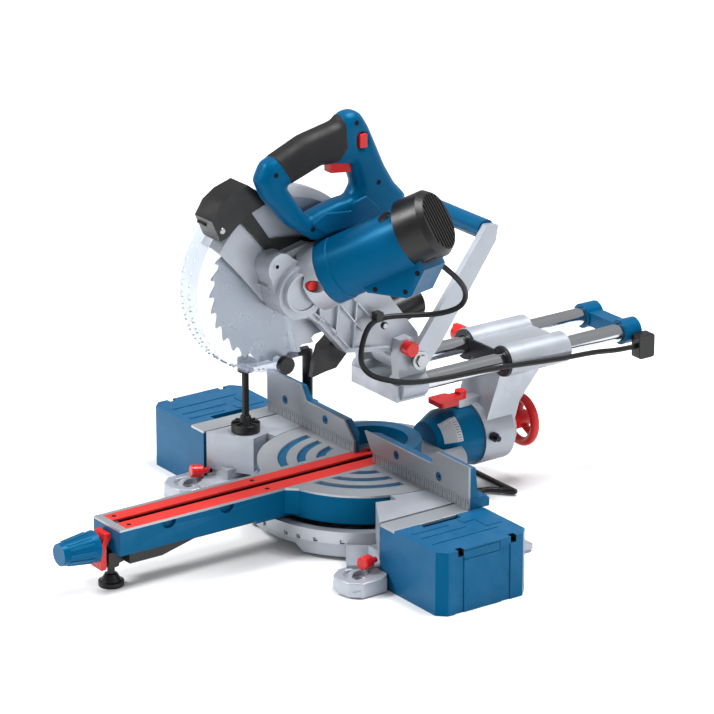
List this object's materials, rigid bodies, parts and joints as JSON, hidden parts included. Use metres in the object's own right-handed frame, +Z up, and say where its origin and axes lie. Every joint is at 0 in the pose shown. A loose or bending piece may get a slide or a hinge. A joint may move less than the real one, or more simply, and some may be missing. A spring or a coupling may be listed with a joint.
{
  "type": "sliding compound mitre saw",
  "caption": "Sliding compound mitre saw with tilting motor head on two rails, turntable with front arm, split fence, material clamp and box-shaped table extensions.",
  "frame": {"origin": "on the bench surface directly under the turntable pivot", "axes": "+X to the operator's right, +Y away from the operator, +Z up"},
  "size_m": [0.676, 0.918, 0.591],
  "materials": {
    "cast_silver": "cast, satin",
    "machined_silver": "machined, satin",
    "tool_blue": "powder coated",
    "shell_blue": "fine moulded texture",
    "signal_red": "moulded",
    "black_plastic": "moulded",
    "black_steel": "black painted",
    "soft_black": "soft moulded",
    "chrome_rail": "polished",
    "steel": "turned",
    "blade_steel": "ground",
    "clear_guard": "clear moulded plastic",
    "cable_black": "smooth"
  },
  "bodies": {
    "base": {"base_casting": "cast_silver", "mitre_scale": "machined_silver", "fence_casting": "tool_blue", "fence_faces": "machined_silver", "anti_tip_bar": "black_steel", "base_feet": "soft_black"},
    "extension_right": {"side_box_right": "shell_blue", "extension_frame_right": "machined_silver"},
    "extension_left": {"side_box_left": "shell_blue", "extension_frame_left": "machined_silver"},
    "clamp_lever_right": {"clamp_lever_right": "signal_red"},
    "clamp_lever_left": {"clamp_lever_left": "signal_red"},
    "upper_fence_right": {"sliding_fence_right": "machined_silver"},
    "upper_fence_left": {"sliding_fence_left": "machined_silver"},
    "table": {"turntable": "tool_blue", "table_top": "machined_silver", "kerf_plates": "signal_red", "support_leg": "black_plastic"},
    "leg_foot": {"leg_foot": "black_plastic"},
    "detent_lever": {"detent_lever": "signal_red"},
    "mitre_knob": {"mitre_knob": "shell_blue"},
    "bevel_arm": {"tilt_arm": "cast_silver", "rail_bearings": "steel", "wiper_plate": "black_plastic", "bevel_stop_screws": "black_steel"},
    "handwheel": {"handwheel": "signal_red"},
    "bevel_lever": {"bevel_lever": "signal_red"},
    "slide_lock_knob": {"slide_lock_knob": "signal_red"},
    "carriage": {"rails": "chrome_rail", "rail_end_cap": "shell_blue", "cable_clamp": "black_plastic", "carriage": "cast_silver", "carry_bar": "cast_silver", "carry_grip": "shell_blue", "pivot_pin": "steel", "head_spring": "steel", "cable_rail": "cable_black"},
    "transport_pin": {"transport_pin": "signal_red"},
    "head": {"gear_case": "cast_silver", "upper_guard": "cast_silver", "guard_trim": "black_plastic", "motor_housing": "shell_blue", "motor_end_cap": "black_plastic", "handle_left": "shell_blue", "handle_right": "shell_blue", "handle_grip": "soft_black", "dust_chute": "black_plastic", "cable_boot": "soft_black", "cable_head": "cable_black", "cable_loop": "cable_black"},
    "trigger": {"trigger": "signal_red"},
    "lock_off": {"lock_off": "signal_red"},
    "spindle_lock": {"spindle_lock": "signal_red"},
    "armature": {"armature": "steel"},
    "blade": {"blade": "blade_steel", "arbor": "steel"},
    "lower_guard": {"lower_guard": "clear_guard"},
    "guard_roller": {"guard_roller": "black_plastic"},
    "clamp_post": {"clamp_post": "black_steel"},
    "clamp_spindle": {"clamp_spindle": "black_plastic"}
  },
  "joints": [
    {"name": "mitre", "type": "hinge", "parent": "base", "child": "table", "pos_m": [0, 0, 0.087], "axis": [0, 0, 1], "range_deg": [-48, 48]},
    {"name": "extension_slide_right", "type": "slide", "parent": "base", "child": "extension_right", "axis": [1, 0, 0], "range_m": [0, 0.1]},
    {"name": "extension_slide_left", "type": "slide", "parent": "base", "child": "extension_left", "axis": [-1, 0, 0], "range_m": [0, 0.1]},
    {"name": "clamp_lever_turn_right", "type": "hinge", "parent": "base", "child": "clamp_lever_right", "pos_m": [0.196, -0.118, 0.034], "axis": [0, -1, 0], "range_deg": [-50, 0]},
    {"name": "clamp_lever_turn_left", "type": "hinge", "parent": "base", "child": "clamp_lever_left", "pos_m": [-0.196, -0.118, 0.034], "axis": [0, -1, 0], "range_deg": [0, 50]},
    {"name": "upper_fence_slide_right", "type": "slide", "parent": "base", "child": "upper_fence_right", "axis": [1, 0, 0], "range_m": [0, 0.08]},
    {"name": "upper_fence_slide_left", "type": "slide", "parent": "base", "child": "upper_fence_left", "axis": [-1, 0, 0], "range_m": [0, 0.06]},
    {"name": "leg_foot_screw", "type": "hinge", "parent": "table", "child": "leg_foot", "pos_m": [0, -0.4, 0], "axis": [0, 0, 1], "continuous": true},
    {"name": "detent_press", "type": "slide", "parent": "table", "child": "detent_lever", "axis": [0, 0, -1], "range_m": [0, 0.005], "stiffness_N_per_m": 600, "springref_m": -0.002},
    {"name": "mitre_knob_turn", "type": "hinge", "parent": "table", "child": "mitre_knob", "pos_m": [0, -0.44, 0.06], "axis": [0, -1, 0], "continuous": true},
    {"name": "bevel", "type": "hinge", "parent": "table", "child": "bevel_arm", "pos_m": [0, 0.19, 0.084], "axis": [0, 1, 0], "range_deg": [-45, 0]},
    {"name": "handwheel_turn", "type": "hinge", "parent": "bevel_arm", "child": "handwheel", "pos_m": [0, 0.262, 0.084], "axis": [0, 1, 0], "continuous": true},
    {"name": "bevel_lever_turn", "type": "hinge", "parent": "bevel_arm", "child": "bevel_lever", "pos_m": [0, 0.164, 0.138], "axis": [0, 0, 1], "range_deg": [-25, 0]},
    {"name": "slide_lock_turn", "type": "hinge", "parent": "bevel_arm", "child": "slide_lock_knob", "pos_m": [-0.08, 0.225, 0.194], "axis": [-1, 0, 0], "range_deg": [-180, 0]},
    {"name": "rail_slide", "type": "slide", "parent": "bevel_arm", "child": "carriage", "axis": [0, 1, 0], "range_m": [-0.095, 0.125]},
    {"name": "transport_pin_pull", "type": "slide", "parent": "carriage", "child": "transport_pin", "axis": [1, 0, 0], "range_m": [0, 0.01]},
    {"name": "head_pitch", "type": "hinge", "parent": "carriage", "child": "head", "pos_m": [0, 0.052, 0.232], "axis": [1, 0, 0], "range_deg": [0, 48], "stiffness_Nm_per_rad": 6, "springref_deg": -114.59, "deforming": ["cable_loop"]},
    {"name": "trigger_squeeze", "type": "slide", "parent": "head", "child": "trigger", "axis": [0, 0, 1], "range_m": [0, 0.006], "stiffness_N_per_m": 600, "springref_m": -0.002},
    {"name": "lock_off_press", "type": "slide", "parent": "head", "child": "lock_off", "axis": [-1, 0, 0], "range_m": [0, 0.003], "stiffness_N_per_m": 500, "springref_m": -0.002},
    {"name": "spindle_lock_press", "type": "slide", "parent": "head", "child": "spindle_lock", "axis": [-1, 0, 0], "range_m": [0, 0.003], "stiffness_N_per_m": 500, "springref_m": -0.002},
    {"name": "armature_spin", "type": "hinge", "parent": "head", "child": "armature", "pos_m": [0.057, -0.0915, 0.3835], "axis": [0.7231, 0.5062, 0.47], "continuous": true},
    {"name": "blade_spin", "type": "hinge", "parent": "head", "child": "blade", "pos_m": [0, -0.134, 0.362], "axis": [1, 0, 0], "continuous": true},
    {"name": "lower_guard_swing", "type": "hinge", "parent": "head", "child": "lower_guard", "pos_m": [0, -0.134, 0.362], "axis": [1, 0, 0], "range_deg": [-111, 0]},
    {"name": "guard_roller_spin", "type": "hinge", "parent": "lower_guard", "child": "guard_roller", "pos_m": [0.014, -0.134, 0.251], "axis": [1, 0, 0], "continuous": true},
    {"name": "clamp_swivel", "type": "hinge", "parent": "base", "child": "clamp_post", "pos_m": [-0.174, 0.032, 0.087], "axis": [0, 0, -1], "range_deg": [-40, 30]},
    {"name": "clamp_spindle_feed", "type": "slide", "parent": "clamp_post", "child": "clamp_spindle", "axis": [0, 0, 1], "range_m": [0, 0.06]}
  ],
  "couplings": [
    {"joint": "lower_guard_swing", "follows": "head_pitch", "ratio": -2.3},
    {"joint": "armature_spin", "follows": "blade_spin", "ratio": 4.5}
  ]
}
